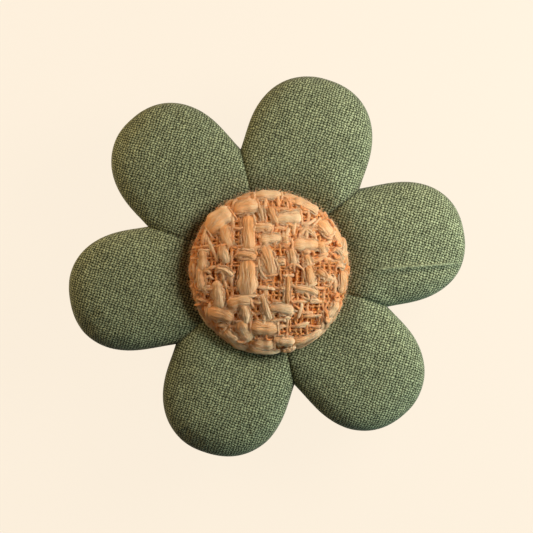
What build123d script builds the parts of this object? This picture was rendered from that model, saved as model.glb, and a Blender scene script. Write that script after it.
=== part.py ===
from build123d import *
import os
from math import acos, atan2, cos, degrees, hypot, radians, sin, tan

# Flower hair clip: a padded fabric flower with a tweed-covered button, glued to a sprung alligator clip.
# The clip lies along X, finger tab at -X and jaw tip at +X, and the flower faces +Z. The origin is on the flat
# outer face of the jaw lever, straight below the middle of the button. Millimetres throughout.

# ---- Petals, seen from the front: name, direction from +X in degrees, reach to the tip, half width
PETALS = [
    ("right", 0.5, 30.3, 9.2),
    ("upper_right", 61.6, 29.9, 9.5),
    ("upper_left", 122.5, 30.5, 9.15),
    ("left", 179.5, 30.4, 9.15),
    ("lower_left", 241.4, 29.6, 9.5),
    ("lower_right", 303.1, 30.4, 9.2),
]
FLANK_RADIUS = 130.0  # the sides of a petal are slightly bowed
PETAL_ROOT = -6.0  # each petal's outline runs this far past the middle, under its neighbours
FABRIC = 0.4  # thickness of the face fabric
SLIP = 0.05  # gap that keeps soft layers apart
CREASE_GAP = 0.3  # gap between neighbouring pads, where the face fabric is pulled down
EDGE_ROUND = 3.8  # rounding of the padded edge
HEM_WIDTH = 4.5  # how far the face fabric is turned under the board
LINING_SETBACK = 1.4  # from the flower's outline

# ---- Clip: plan and sheet sizes
CLIP_WIDTH = 8.0
STEEL = 0.6
STRIP_CORNER = 3.2  # rounding of the arms' corners, in plan
STRIP_EDGE = 0.15
TIP_X = 25.0
TAB_X = -27.0
BASE_TAB_X = -26.0
PIVOT_X = -12.5
PIN_RADIUS = 0.8
PIN_GAP = 0.02  # pin in the base's ears, where it is held
RUNNING_GAP = 0.05  # pin in the lever's ears, which turn on it
EAR_RADIUS = 2.0
EAR_SIDE_GAP = 0.1  # between a base ear and the lever ear outside it, and under the pin's heads
HEAD_RADIUS = 1.3
HEAD = 0.4

# ---- Heights, from the resting face of the jaw lever upwards
ARM_BOTTOM = 7.6
ARM_TOP = ARM_BOTTOM + STEEL
PIVOT_Z = (STEEL + ARM_BOTTOM) / 2
GLUE = 0.2
LINING = 0.6
LINING_BOTTOM = ARM_TOP + GLUE
HEM_BOTTOM = LINING_BOTTOM + LINING
BOARD = 1.0
BOARD_BOTTOM = HEM_BOTTOM + FABRIC
BOARD_TOP = BOARD_BOTTOM + BOARD
CROWN_TOP = BOARD_TOP + 5.2

# ---- Seat of the button in the petals
SEAT_Z = BOARD_TOP + 2.5
SEAT_RADIUS = 10.6
SEAT_SLOPE = 34.0  # degrees, of the petals' fall towards the button
SHANK_HOLE = 3.4

# ---- Button: a shallow dome with a round rim, which stands on its seat
BUTTON_RADIUS = 12.1
BUTTON_TOP = SEAT_Z + 7.2
RIM_ROUND = 2.5
TWEED = 1.3
SHELL = 0.35
SHELL_MOUTH = 9.05  # radius of the shell's opening
TUCK_RADIUS = 8.35  # inner radius of the tweed's tucked-in edge
TUCK_DEPTH = 2.2
PLATE_FLANGE = 1.9

# ---- Shank and thread
WIRE = 1.2
EYE = 2.4  # inner width of the shank's loop
SHANK_BOTTOM = BOARD_TOP + 0.1
THREAD = 0.7
THREAD_BEND = 0.7
THREAD_SLACK = 0.02
POCKET_GAP = 0.1

# ---- Felt over the fixed arm, and the glue under it
FELT = 1.0
FELT_RADIUS = 11.0
FELT_X = 1.5
GLUE_LENGTH = 36.0
GLUE_WIDTH = 6.4

# ---- Jaw lever: flat from its tab to FLAT_END_X, up to JAW_X, then nearly level to its tip
FLAT_END_X = 7.0
JAW_X = 15.5
JAW_RISE = 5.4
TIP_RISE = 6.0
BELLY_BEND = 6.0
JAW_BEND = 5.0
TEETH = 4
TOOTH_PITCH = 1.8
TOOTH_DEPTH = 0.9
TIP_GAP = 0.2  # between the closed jaws
GRIP_GROOVES = 4  # across the tab, on its outer face
GRIP_X = -24.6
GROOVE_PITCH = 1.3
GROOVE_RADIUS = 0.5
GROOVE_DEPTH = 0.18

# ---- Torsion spring
SPRING_WIRE = 0.7
SPRING_RADIUS = 1.75
SPRING_TURNS = 6
SPRING_PITCH = 0.78
LEG_X = 8.5  # from the pin back to the legs' ends

os.makedirs("parts", exist_ok=True)


def turned(direction, height=0.0):
    """A level plane whose x axis points along direction."""
    along = (cos(radians(direction)), sin(radians(direction)), 0)
    return Plane(origin=(0, 0, height), x_dir=along, z_dir=(0, 0, 1))


def finish(shape, name):
    """Labels a piece and writes its STEP."""
    shape.label = name
    export_step(shape, f"parts/{name}.step")
    print(f"{name}: {shape.volume:.1f} mm3, {len(shape.solids())} solid(s), valid {shape.is_valid}")


def petal_outline(petal, inset, height):
    """One petal's face: a round nose with slightly bowed flanks, inset on every side."""
    _, direction, reach, half_width = petal
    nose_x = reach - half_width
    nose = half_width - inset
    bow = FLANK_RADIUS - inset
    root_y = half_width - FLANK_RADIUS + (bow**2 - (nose_x - PETAL_ROOT) ** 2) ** 0.5
    mid_x = (nose_x + PETAL_ROOT) / 2
    mid_y = half_width - FLANK_RADIUS + (bow**2 - (nose_x - mid_x) ** 2) ** 0.5
    with BuildSketch(turned(direction, height)) as outline:
        with BuildLine():
            ThreePointArc((nose_x, nose), (nose_x + nose, 0), (nose_x, -nose))
            ThreePointArc((nose_x, -nose), (mid_x, -mid_y), (PETAL_ROOT, -root_y))
            Line((PETAL_ROOT, -root_y), (PETAL_ROOT, root_y))
            ThreePointArc((PETAL_ROOT, root_y), (mid_x, mid_y), (nose_x, nose))
        make_face()
    return outline.sketch


def flower_plate(inset, bottom, thickness):
    """A flat flower: all six outlines, each extruded, as one solid."""
    with BuildPart() as plate:
        for petal in PETALS:
            add(petal_outline(petal, inset, bottom))
            extrude(amount=thickness)
    return plate.part


def petal_solid(petal, inset, bottom):
    """One petal from bottom up, with its padded edge rounded, inset on its sides and top."""
    with BuildPart() as body:
        add(petal_outline(petal, inset, bottom))
        extrude(amount=CROWN_TOP - inset - bottom)
        outward = Axis((0, 0, 0), turned(petal[1]).x_dir)
        rim = body.faces().sort_by(Axis.Z)[-1].edges().sort_by(outward)
        fillet(rim[1:], EDGE_ROUND - inset)
    return body.part


def seat(inset):
    """The hollow that the button makes in the petals, as the solid to cut, set deeper by inset."""
    slope = tan(radians(SEAT_SLOPE))
    floor = SEAT_Z - inset
    edge = SEAT_Z - inset / cos(radians(SEAT_SLOPE))
    corner = SEAT_RADIUS + (floor - edge) / slope
    top = CROWN_TOP + 2
    with BuildPart() as hollow:
        with BuildSketch(Plane.XZ):
            with BuildLine():
                Polyline(
                    (0, floor),
                    (corner, floor),
                    (SEAT_RADIUS + (top - edge) / slope, top),
                    (0, top),
                    close=True,
                )
            make_face()
        revolve(axis=Axis.Z)
    return hollow.part


def flower_solid(inset, bottom):
    """All six crowned petals as one solid, with the button's seat pressed in."""
    with BuildPart() as flower:
        for petal in PETALS:
            add(petal_solid(petal, inset, bottom))
        add(seat(inset), mode=Mode.SUBTRACT)
    return flower.part


# ---- Face fabric: the outside of the flower less its inside, with a hem turned under the board
with BuildPart() as petal_cover:
    add(flower_solid(0, HEM_BOTTOM))
    add(flower_solid(FABRIC, BOARD_BOTTOM), mode=Mode.SUBTRACT)
    add(flower_plate(HEM_WIDTH, HEM_BOTTOM - 1, FABRIC + 2), mode=Mode.SUBTRACT)
    Cylinder(SHANK_HOLE, 2 * CROWN_TOP, mode=Mode.SUBTRACT)
finish(petal_cover.part, "petal_cover")

# ---- Six foam pads, each filling its petal between two creases
for index, this_petal in enumerate(PETALS):
    before = PETALS[index - 1][1] - (360 if index == 0 else 0)
    after = PETALS[(index + 1) % len(PETALS)][1] + (360 if index == len(PETALS) - 1 else 0)
    low = (before + this_petal[1]) / 2
    high = (after + this_petal[1]) / 2
    middle = (low + high) / 2
    apex = CREASE_GAP / 2 / sin(radians(high - low) / 2)
    far = 45.0
    corners = [(apex, 0)]
    for way, length in ((low - middle, far), (0, 1.3 * far), (high - middle, far)):
        corners.append((apex + length * cos(radians(way)), length * sin(radians(way))))
    with BuildPart() as pad:
        add(petal_solid(this_petal, FABRIC + SLIP, BOARD_TOP))
        add(seat(FABRIC + SLIP), mode=Mode.SUBTRACT)
        Cylinder(SHANK_HOLE, 2 * CROWN_TOP, mode=Mode.SUBTRACT)
        with BuildSketch(turned(middle, BOARD_TOP - 1)):
            with BuildLine():
                Polyline(*corners, close=True)
            make_face()
        extrude(amount=CROWN_TOP, mode=Mode.INTERSECT)
    finish(pad.part, f"petal_pad_{this_petal[0]}")

# ---- Stiffener board with two holes for the thread
THREAD_X = EYE / 2 + WIRE
with BuildPart() as stiffener_board:
    add(flower_plate(FABRIC + SLIP, BOARD_BOTTOM, BOARD))
    with Locations((THREAD_X, 0, BOARD_TOP), (-THREAD_X, 0, BOARD_TOP)):
        Hole(THREAD / 2 + SLIP, BOARD)
finish(stiffener_board.part, "stiffener_board")

# ---- Back lining: covers the hem, steps up inside it, and has a pocket for the thread
THREAD_LOW = BOARD_BOTTOM - THREAD / 2 - THREAD_SLACK
pocket_floor = THREAD_LOW - THREAD / 2 - SLIP
with BuildPart() as back_lining:
    add(flower_plate(LINING_SETBACK, LINING_BOTTOM, LINING))
    add(flower_plate(HEM_WIDTH + SLIP, HEM_BOTTOM, FABRIC))
    with BuildSketch(Plane.XY.offset(pocket_floor)):
        Rectangle(2 * THREAD_X + THREAD + 2 * POCKET_GAP, THREAD + 2 * POCKET_GAP)
    extrude(amount=BOARD_BOTTOM - pocket_floor, mode=Mode.SUBTRACT)
finish(back_lining.part, "back_lining")

# ---- Button: the dome's arc and the rim's arc keep their centres, so every layer is an even offset
RIM_X = BUTTON_RADIUS - RIM_ROUND
RIM_Z = SEAT_Z + RIM_ROUND
rise = BUTTON_TOP - RIM_ROUND - RIM_Z
DOME_RADIUS = RIM_ROUND + (RIM_X**2 + rise**2) / (2 * rise)
DOME_Z = BUTTON_TOP - DOME_RADIUS
SHOULDER = atan2(RIM_Z - DOME_Z, RIM_X)


def button_solid(inset):
    """The button's whole outline, flat underneath, inset from the tweed's outer surface."""
    rim = RIM_ROUND - inset
    dome = DOME_RADIUS - inset
    half_way = (SHOULDER + radians(90)) / 2
    shoulder = (dome * cos(SHOULDER), DOME_Z + dome * sin(SHOULDER))
    crest = (dome * cos(half_way), DOME_Z + dome * sin(half_way))
    with BuildPart() as solid:
        with BuildSketch(Plane.XZ):
            with BuildLine():
                Line((0, DOME_Z + dome), (0, RIM_Z - rim))
                Line((0, RIM_Z - rim), (RIM_X, RIM_Z - rim))
                ThreePointArc((RIM_X, RIM_Z - rim), (RIM_X + rim, RIM_Z), shoulder)
                ThreePointArc(shoulder, crest, (0, DOME_Z + dome))
            make_face()
        revolve(axis=Axis.Z)
    return solid.part


def ring(outer, inner, bottom, top):
    """A plain ring about the button's axis."""
    with BuildPart() as shape:
        with BuildSketch(Plane.XY.offset(bottom)):
            Circle(outer)
            if inner:
                Circle(inner, mode=Mode.SUBTRACT)
        extrude(amount=top - bottom)
    return shape.part


with BuildPart() as button_tweed:
    add(button_solid(0))
    add(button_solid(TWEED), mode=Mode.SUBTRACT)
    add(ring(TUCK_RADIUS, 0, SEAT_Z - 1, SEAT_Z + RIM_ROUND), mode=Mode.SUBTRACT)
    add(ring(SHELL_MOUTH - SLIP, TUCK_RADIUS, SEAT_Z, SEAT_Z + TUCK_DEPTH))
finish(button_tweed.part, "button_tweed")

with BuildPart() as button_shell:
    add(button_solid(TWEED + SLIP))
    add(button_solid(TWEED + SLIP + SHELL), mode=Mode.SUBTRACT)
    add(ring(SHELL_MOUTH, 0, SEAT_Z, SEAT_Z + RIM_ROUND), mode=Mode.SUBTRACT)
finish(button_shell.part, "button_shell")

# ---- Back plate: a shallow cup inside the tucked edge, with two holes for the shank's wire
PLATE_Z = SEAT_Z + 0.2
PLATE_RADIUS = TUCK_RADIUS - SLIP
LEG_Y = (EYE + WIRE) / 2
with BuildPart() as button_back_plate:
    add(ring(PLATE_RADIUS, 0, PLATE_Z, PLATE_Z + SHELL))
    add(ring(PLATE_RADIUS, PLATE_RADIUS - SHELL, PLATE_Z, PLATE_Z + PLATE_FLANGE))
    with Locations((0, LEG_Y, PLATE_Z + SHELL), (0, -LEG_Y, PLATE_Z + SHELL)):
        Hole(WIRE / 2 + PIN_GAP, SHELL)
finish(button_back_plate.part, "button_back_plate")

# ---- Shank: a wire loop below the plate, its ends upset above it
bow_z = SHANK_BOTTOM + WIRE / 2 + LEG_Y
plate_top = PLATE_Z + SHELL
with BuildPart() as button_shank:
    with BuildLine(Plane.YZ) as loop:
        Line((LEG_Y, plate_top), (LEG_Y, bow_z))
        ThreePointArc((LEG_Y, bow_z), (0, bow_z - LEG_Y), (-LEG_Y, bow_z))
        Line((-LEG_Y, bow_z), (-LEG_Y, plate_top))
    with BuildSketch(Plane(origin=(0, LEG_Y, plate_top), z_dir=(0, 0, -1))):
        Circle(WIRE / 2)
    sweep()
    with BuildSketch(Plane.XY.offset(plate_top)):
        with Locations((0, LEG_Y), (0, -LEG_Y)):
            Circle(WIRE / 2 + SHELL)
    extrude(amount=SHELL)
finish(button_shank.part, "button_shank")

# ---- Thread: a closed ring through the eye and down through the board, with its knot side in the lining
THREAD_HIGH = SHANK_BOTTOM + WIRE + THREAD / 2 + THREAD_SLACK
with BuildPart() as shank_thread:
    with BuildLine(Plane.XZ) as path:
        FilletPolyline(
            (THREAD_X, THREAD_LOW),
            (THREAD_X, THREAD_HIGH),
            (-THREAD_X, THREAD_HIGH),
            (-THREAD_X, THREAD_LOW),
            radius=THREAD_BEND,
            close=True,
        )
    with BuildSketch(Plane(origin=path.wire() @ 0, z_dir=path.wire() % 0)):
        Circle(THREAD / 2)
    sweep()
finish(shank_thread.part, "shank_thread")

# ---- Glue between the lining and the fixed arm
with BuildPart() as glue_pad:
    with BuildSketch(Plane.XY.offset(ARM_TOP)):
        with Locations((FELT_X, 0)):
            SlotOverall(GLUE_LENGTH, GLUE_WIDTH)
    extrude(amount=GLUE)
finish(glue_pad.part, "glue_pad")

# ---- Felt disc: a hat section over the arm, glued to the lining on both sides of it
arm_side = CLIP_WIDTH / 2 + SLIP
arm_under = ARM_BOTTOM - SLIP
with BuildPart() as felt_disc:
    with BuildSketch(Plane.YZ.offset(FELT_X - FELT_RADIUS)):
        with BuildLine():
            Polyline(
                (FELT_RADIUS, LINING_BOTTOM),
                (arm_side, LINING_BOTTOM),
                (arm_side, arm_under),
                (0, arm_under),
                (0, arm_under - FELT),
                (arm_side + FELT, arm_under - FELT),
                (arm_side + FELT, LINING_BOTTOM - FELT),
                (FELT_RADIUS, LINING_BOTTOM - FELT),
                close=True,
            )
        make_face()
        mirror(about=Plane.YZ)
    extrude(amount=2 * FELT_RADIUS)
    with BuildSketch(Plane.XY):
        with Locations((FELT_X, 0)):
            Circle(FELT_RADIUS)
    extrude(amount=CROWN_TOP, mode=Mode.INTERSECT)
finish(felt_disc.part, "felt_disc")


# ---- Clip: both arms are strips with a round tip and a round tab
def strip(start_x, bottom, thickness):
    """A level strip from start_x to the tip."""
    with BuildPart() as bar:
        with BuildSketch(Plane.XY.offset(bottom)):
            with Locations(((start_x + TIP_X) / 2, 0)):
                RectangleRounded(TIP_X - start_x, CLIP_WIDTH, STRIP_CORNER)
        extrude(amount=thickness)
    return bar.part


def ear_pair(inner_y, root_z, hole_radius):
    """Two ears from an arm at root_z to the pin, each a strip with a round end."""
    reach = root_z - PIVOT_Z
    with BuildPart() as ears:
        with BuildSketch(Plane.XZ.offset(-inner_y - STEEL)):
            with Locations((PIVOT_X, PIVOT_Z)):
                Circle(EAR_RADIUS)
            with Locations((PIVOT_X, PIVOT_Z + reach / 2)):
                Rectangle(2 * EAR_RADIUS, abs(reach))
            with Locations((PIVOT_X, PIVOT_Z)):
                Circle(hole_radius, mode=Mode.SUBTRACT)
        extrude(amount=STEEL)
        mirror(about=Plane.XZ)
    return ears.part


BASE_EAR_Y = CLIP_WIDTH / 2 - STEEL
LEVER_EAR_Y = CLIP_WIDTH / 2 + EAR_SIDE_GAP
with BuildPart() as clip_base:
    add(strip(BASE_TAB_X, ARM_BOTTOM, STEEL))
    flats = clip_base.faces().filter_by(Axis.Z)
    fillet(flats.edges(), STRIP_EDGE)
    add(ear_pair(BASE_EAR_Y, ARM_BOTTOM + STEEL / 2, PIN_RADIUS + PIN_GAP))
finish(clip_base.part, "clip_base")

# ---- Jaw lever: a bent strip with a toothed flange on each side of its jaw, and ears on two wings
with BuildPart() as jaw_lever:
    with BuildSketch(Plane.XZ.offset(-CLIP_WIDTH / 2)):
        with BuildLine():
            FilletPolyline(
                (TAB_X, STEEL / 2),
                (FLAT_END_X, STEEL / 2),
                (JAW_X, JAW_RISE + STEEL / 2),
                (TIP_X, TIP_RISE + STEEL / 2),
                radius=[BELLY_BEND, JAW_BEND],
            )
        trace(line_width=STEEL)
    extrude(amount=CLIP_WIDTH)
    add(strip(TAB_X, -1, ARM_TOP), mode=Mode.INTERSECT)

    tooth_top = ARM_BOTTOM - TIP_GAP
    teeth_end = TIP_X - STRIP_CORNER
    teeth_start = teeth_end - TEETH * TOOTH_PITCH
    outline = [(teeth_start, JAW_RISE - STEEL)]
    for tooth in range(TEETH):
        valley = teeth_start + tooth * TOOTH_PITCH
        outline.append((valley, tooth_top - TOOTH_DEPTH))
        outline.append((valley + TOOTH_PITCH / 2, tooth_top))
    outline.append((teeth_end, tooth_top - TOOTH_DEPTH))
    outline.append((teeth_end, TIP_RISE + STEEL / 2))
    with BuildSketch(Plane.XZ.offset(-CLIP_WIDTH / 2), Plane.XZ.offset(CLIP_WIDTH / 2 - STEEL)):
        with BuildLine():
            Polyline(*outline, close=True)
        make_face()
    extrude(amount=STEEL)

    with BuildSketch():
        with Locations((PIVOT_X, 0)):
            Rectangle(2 * EAR_RADIUS, 2 * (LEVER_EAR_Y + STEEL))
    extrude(amount=STEEL)
    add(ear_pair(LEVER_EAR_Y, STEEL / 2, PIN_RADIUS + RUNNING_GAP))

    with BuildSketch(Plane.XZ.offset(-CLIP_WIDTH)):
        for groove in range(GRIP_GROOVES):
            with Locations((GRIP_X + groove * GROOVE_PITCH, GROOVE_DEPTH - GROOVE_RADIUS)):
                Circle(GROOVE_RADIUS)
    extrude(amount=2 * CLIP_WIDTH, mode=Mode.SUBTRACT)
finish(jaw_lever.part, "jaw_lever")

# ---- Hinge pin: held in the base's ears, with a head outside each lever ear
head_y = LEVER_EAR_Y + STEEL + EAR_SIDE_GAP
with BuildPart() as hinge_pin:
    with BuildSketch(Plane.XZ.offset(-head_y)):
        with Locations((PIVOT_X, PIVOT_Z)):
            Circle(PIN_RADIUS)
    extrude(amount=2 * head_y)
    with BuildSketch(Plane.XZ.offset(-head_y - HEAD), Plane.XZ.offset(head_y)):
        with Locations((PIVOT_X, PIVOT_Z)):
            Circle(HEAD_RADIUS)
    extrude(amount=HEAD)
    ends = hinge_pin.faces().filter_by(Axis.Y).group_by(Axis.Y)
    fillet(ends[0].edges() + ends[-1].edges(), HEAD / 2)
finish(hinge_pin.part, "hinge_pin")

# ---- Torsion spring: a coil about the pin, and two straight legs that touch both arms near the tabs.
# It is made upright, starting on its +X side, and then laid along the pin.
leg_z = ARM_BOTTOM - SPRING_WIRE / 2 - PIVOT_Z
leg_reach = hypot(LEG_X, leg_z)
leg_start = atan2(leg_z, -LEG_X) - acos(SPRING_RADIUS / leg_reach)
coil_turns = SPRING_TURNS + degrees(leg_start) / 180
coil_length = SPRING_PITCH * coil_turns
with BuildPart() as torsion_spring:
    with BuildLine() as coil:
        Helix(SPRING_PITCH, coil_length, SPRING_RADIUS)
    with BuildSketch(Plane(origin=coil.line @ 0, z_dir=coil.line % 0)):
        Circle(SPRING_WIRE / 2)
    sweep(is_frenet=True)
    wire_ends = torsion_spring.faces().filter_by(GeomType.PLANE)
    extrude(wire_ends, amount=(leg_reach**2 - SPRING_RADIUS**2) ** 0.5)
coil_plane = Plane(
    origin=(PIVOT_X, -coil_length / 2, PIVOT_Z),
    x_dir=(cos(leg_start), 0, sin(leg_start)),
    z_dir=(0, 1, 0),
)
finish(torsion_spring.part.moved(coil_plane.location), "torsion_spring")
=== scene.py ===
import math
import random

import bmesh
import bpy
import numpy as np
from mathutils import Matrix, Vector, kdtree, noise


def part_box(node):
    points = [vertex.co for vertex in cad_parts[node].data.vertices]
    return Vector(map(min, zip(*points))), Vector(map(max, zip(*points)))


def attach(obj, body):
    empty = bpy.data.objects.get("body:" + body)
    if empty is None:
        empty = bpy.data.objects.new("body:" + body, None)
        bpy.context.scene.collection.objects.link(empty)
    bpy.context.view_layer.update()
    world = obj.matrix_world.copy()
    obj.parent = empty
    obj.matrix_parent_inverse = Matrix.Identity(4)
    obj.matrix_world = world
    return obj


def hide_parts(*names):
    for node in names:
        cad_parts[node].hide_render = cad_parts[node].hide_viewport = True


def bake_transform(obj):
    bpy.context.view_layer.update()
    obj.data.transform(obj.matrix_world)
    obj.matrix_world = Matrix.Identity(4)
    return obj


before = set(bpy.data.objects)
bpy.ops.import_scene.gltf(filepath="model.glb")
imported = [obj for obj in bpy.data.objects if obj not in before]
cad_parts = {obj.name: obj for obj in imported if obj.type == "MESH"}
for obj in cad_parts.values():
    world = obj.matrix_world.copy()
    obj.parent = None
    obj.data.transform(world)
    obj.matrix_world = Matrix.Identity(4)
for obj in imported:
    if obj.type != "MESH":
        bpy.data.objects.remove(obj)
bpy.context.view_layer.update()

MM = 0.001
ROLL = math.radians(-10.1)  # the view's right-hand direction in the row frame
VIEW_RIGHT = np.array((math.cos(ROLL), math.sin(ROLL)))
VIEW_UP = np.array((-math.sin(ROLL), math.cos(ROLL)))

# ---- Camera in mm, then lights: name, mm right, up and high, size in mm, power in W and colour
CAMERA_DISTANCE, SEEN_WIDTH, FACE_Z, SENSOR = 600.0, 80.8, 12.5, 36.0
CAMERA_ASIDE = 0.15  # to the left and up
LIGHTS = (
    ("key", 92, 42, 84, 80, 0.184, (1.0, 0.99, 0.90)),
    ("warm_fill", -114, 76, 46, 110, 0.126, (1.0, 0.74, 0.42)),
    ("cool_edge", 122, -60, 48, 70, 0.062, (0.55, 0.95, 1.0)),
)
SURROUND, SURROUND_STRENGTH = (1.0, 0.90, 0.72, 1), 0.07
FLOOR_REACH = 3.0  # in m
FLOOR_COLOR, FLOOR_GLOW, FLOOR_GLOW_STRENGTH = (0.05, 0.044, 0.037, 1), (1.0, 0.887, 0.737, 1), 0.95

# ---- Heights of the layers, in mm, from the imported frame
HEM_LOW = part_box("petal_cover")[0].z / MM
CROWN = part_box("petal_cover")[1].z / MM
BOARD_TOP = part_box("stiffener_board")[1].z / MM
LINING_LOW, LINING_HIGH = (corner.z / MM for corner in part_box("back_lining"))
SEAT_Z, BUTTON_TOP = (corner.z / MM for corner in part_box("button_tweed"))
BUTTON_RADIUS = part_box("button_tweed")[1].x / MM
ARM_HALF_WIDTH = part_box("clip_base")[1].y / MM

# ---- Petals: name, direction in the row frame in degrees, reach and half width in mm
PETALS = (
    ("right", 0.5, 30.3, 9.2),
    ("upper_right", 61.6, 29.9, 9.5),
    ("upper_left", 122.5, 30.5, 9.15),
    ("left", 179.5, 30.4, 9.15),
    ("lower_left", 241.4, 29.6, 9.5),
    ("lower_right", 303.1, 30.4, 9.2),
)
MEAN_HALF = sum(petal[3] for petal in PETALS) / len(PETALS)
NOSE_LENGTH = 10.4  # from a petal's widest place to its tip
NOSE_POWER = 2.25  # a little squarer than an ellipse
FLANK_COLUMNS, NOSE_COLUMNS = 22, 72
COLUMNS = 2 * FLANK_COLUMNS + NOSE_COLUMNS + 1
FLANK_CROWD = 1.5  # how much the flanks' columns crowd towards the creases
PUFF_POWER = 4.2  # a petal's cross-section: flat in the middle, round at the edge
WIDEST_Z = HEM_LOW + 2.3
EDGE_TUCK = 0.7  # how far the edge draws in below its widest height
EDGE_POWER = 0.9  # the roundness of the edge below its widest height
HEM_WIDTH = 4.5
SOFT_START, SOFT_RISE = 0.6, 1.5  # above the hem, where the fabric begins to be padded
FABRIC = 0.32
SEAT_RADIUS, SEAT_SLOPE, SEAT_BLEND, SEAT_SINK = 10.6, math.radians(34), 1.4, 0.12
CREASE_DEPTH, CREASE_STEEP, CREASE_GENTLE = 0.5, 0.6, 1.0
CREASE_SLITS = (0.5, 0.12, 0.12, 0.08, 0.12, 0.12)  # only the first, beside the right petal, is sharp
SLIT_WIDTH = 0.16
CREASE_START, CREASE_RISE = 7, 4  # from the middle, and the length over which a crease deepens
CREASE_PAST, CREASE_FALL = 1.5, 2.5  # past its notch, and the length over which it fades before that
FOLD = (15.5, -0.3), (30.0, 0.7)  # a faint fold along the right petal, as seen from above
# The last is the half width of the painted highlight along the fold's crest
FOLD_HEIGHT, FOLD_WIDTH, FOLD_HIGHLIGHT_WIDTH = 0.34, 0.25, 0.17
FOLD_DIP, FOLD_DIP_WIDTH, FOLD_DIP_ASIDE = 0.5, 0.7, 0.9  # the shallow hollow on its right
SLOW_WAVE, FINE_WAVE = (0.16, 0.16), (0.42, 0.05, (9, 4, 2))  # uneven padding: fineness, height and shift
SHANK_HOLE = 3.4

# ---- The padding's cloth simulation
PUFF_LIMIT = 0.6  # the most that it may move the fabric, in mm
SIM_SCALE = 20.0  # the cloth solver works best at the size of a cushion
SIM_VOXEL = 0.85
SIM_FRAMES = 20
HOLD_EDGE = 0.8  # the height over which the edge is let go, above its widest place
HOLD_SEAT, HOLD_SEAT_RUN = 12.5, 1.5  # the seat is let go up to this radius, over this run
HOLD_CREASE, HOLD_CREASE_RUN = 1.6, 0.6  # a crease is let go beside it, in runs of this many mm
SIM_CLOTH = {
    "quality": 6, "mass": 0.3, "tension_stiffness": 12, "compression_stiffness": 12,
    "shear_stiffness": 6, "bending_stiffness": 1.2, "use_pressure": True, "uniform_pressure_force": 4.0,
    "vertex_group_mass": "held",
}

# ---- Weave of the face fabric: pitch in mm and direction across the threads, in the row frame
WARP_PITCH, WARP_ACROSS = 0.444, math.radians(150.9)
WEFT_PITCH, WEFT_ACROSS = 0.367, math.radians(61.4)
# The first colour is the sage thread's own; the second is painted shade, dark in the gaps between the threads
SAGE, SAGE_GAP_SHADE = (0.400, 0.435, 0.255), (0.010, 0.016, 0.001)
# How sharply the colour falls from a thread's crown into the painted gap shade
WEAVE_CONTRAST = 2.5
FOLD_CREST_HIGHLIGHT = 1.0  # painted highlight: how pale the fabric is along the fold's crest
THREAD_ROUND = 3.9  # how steeply a thread's height falls to its sides
CROSSING_SEEDS, WEFT_SEED = (57.0, 7.31), 517.0

# ---- Pads, lining, stitches, felt and spring, in mm
PAD_BELOW_COVER, PAD_INSET, PAD_GAP, PAD_LOW = 0.62, 0.75, 0.35, BOARD_TOP + 0.03
LINING_INSET, LINING_EDGE = 1.4, 0.3
STITCH_RADIUS = 0.13
STITCHES_PER_PETAL = 24
FELT_THICKNESS, FELT_EDGE = 0.95, 0.25
FELT_UNDER_ARM_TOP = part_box("felt_disc")[0].z / MM + 0.97
FELT_TOP = LINING_LOW - 0.04
SPRING_WIRE, SPRING_RADIUS, SPRING_TURNS, SPRING_PITCH = 0.7, 1.75, 6, 0.78
SPRING_LEG_X = 8.5

# ---- Button: its profile, then the tweed's layers, as mm above or below the CAD tweed's surface
RIM_ROUND = 2.5
RIM_X = BUTTON_RADIUS - RIM_ROUND
RIM_Z = SEAT_Z + RIM_ROUND
RIM_TO_TOP = BUTTON_TOP - RIM_Z
DOME_RADIUS = (RIM_X**2 + RIM_TO_TOP**2 - RIM_ROUND**2) / (2 * (RIM_TO_TOP - RIM_ROUND))
DOME_Z = BUTTON_TOP - DOME_RADIUS
RIM_ANGLE = math.atan2(RIM_X, RIM_Z - DOME_Z)
RIM_START = DOME_RADIUS * RIM_ANGLE
BUTTON_ASIDE, BUTTON_DROP = 0.2, 0.5  # the tweed sits a little off the flower's middle
GROUND_LIFT, GROUND_THICKNESS = -0.55, 0.25
GROUND_REACH = RIM_START + RIM_ROUND * (0.86 * math.pi - RIM_ANGLE)
YARN_REACH = GROUND_REACH - 0.2
YARN_LIFT, YARN_CRIMP, YARN_STEP, YARN_PAIR = -0.30, 0.13, 0.2, 0.13
SLUB_DIVE, SLUB_RISE = -0.50, -0.10
SLUB_NECK = 0.14  # how far a slub's thin ends run on, as a share of its length
SLUB_THIN = 0.13  # the half width of those ends
SLUB_WARPS = (-9.9, -7.0, -5.6, -3.2, -0.6, 2.8, 6.0, 8.6)  # where the thick yarns run, from the middle
SLUB_WEFTS = (-10.6, -8.6, -6.5, -4.7, -2.5, 1.9, 3.8, 6.4, 9.6, 11.8)
TIE_INSET, TIE_PEAK = 0.03, -0.22
TIE_SHARE = 0.65  # of the slub ends
STRAYS = 32  # loose fibres along each slub
RIM_SLUBS = 44  # soft stretches that wrap the rim
FLOATS = 70  # small thick stretches anywhere on the face
CURLS, FUZZ = 54, 2400
TWEED_DEEP = (0.92, 0.28, 0.045)
TWEED_PEACH = (0.95, 0.40, 0.125)
TWEED_CREAM = (0.98, 0.635, 0.365)
# The ground's own colour, then painted shade for the gaps between its threads
GROUND_BRIGHT, GROUND_GAP_SHADE = (0.85, 0.29, 0.05), (0.45, 0.11, 0.014)

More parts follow.
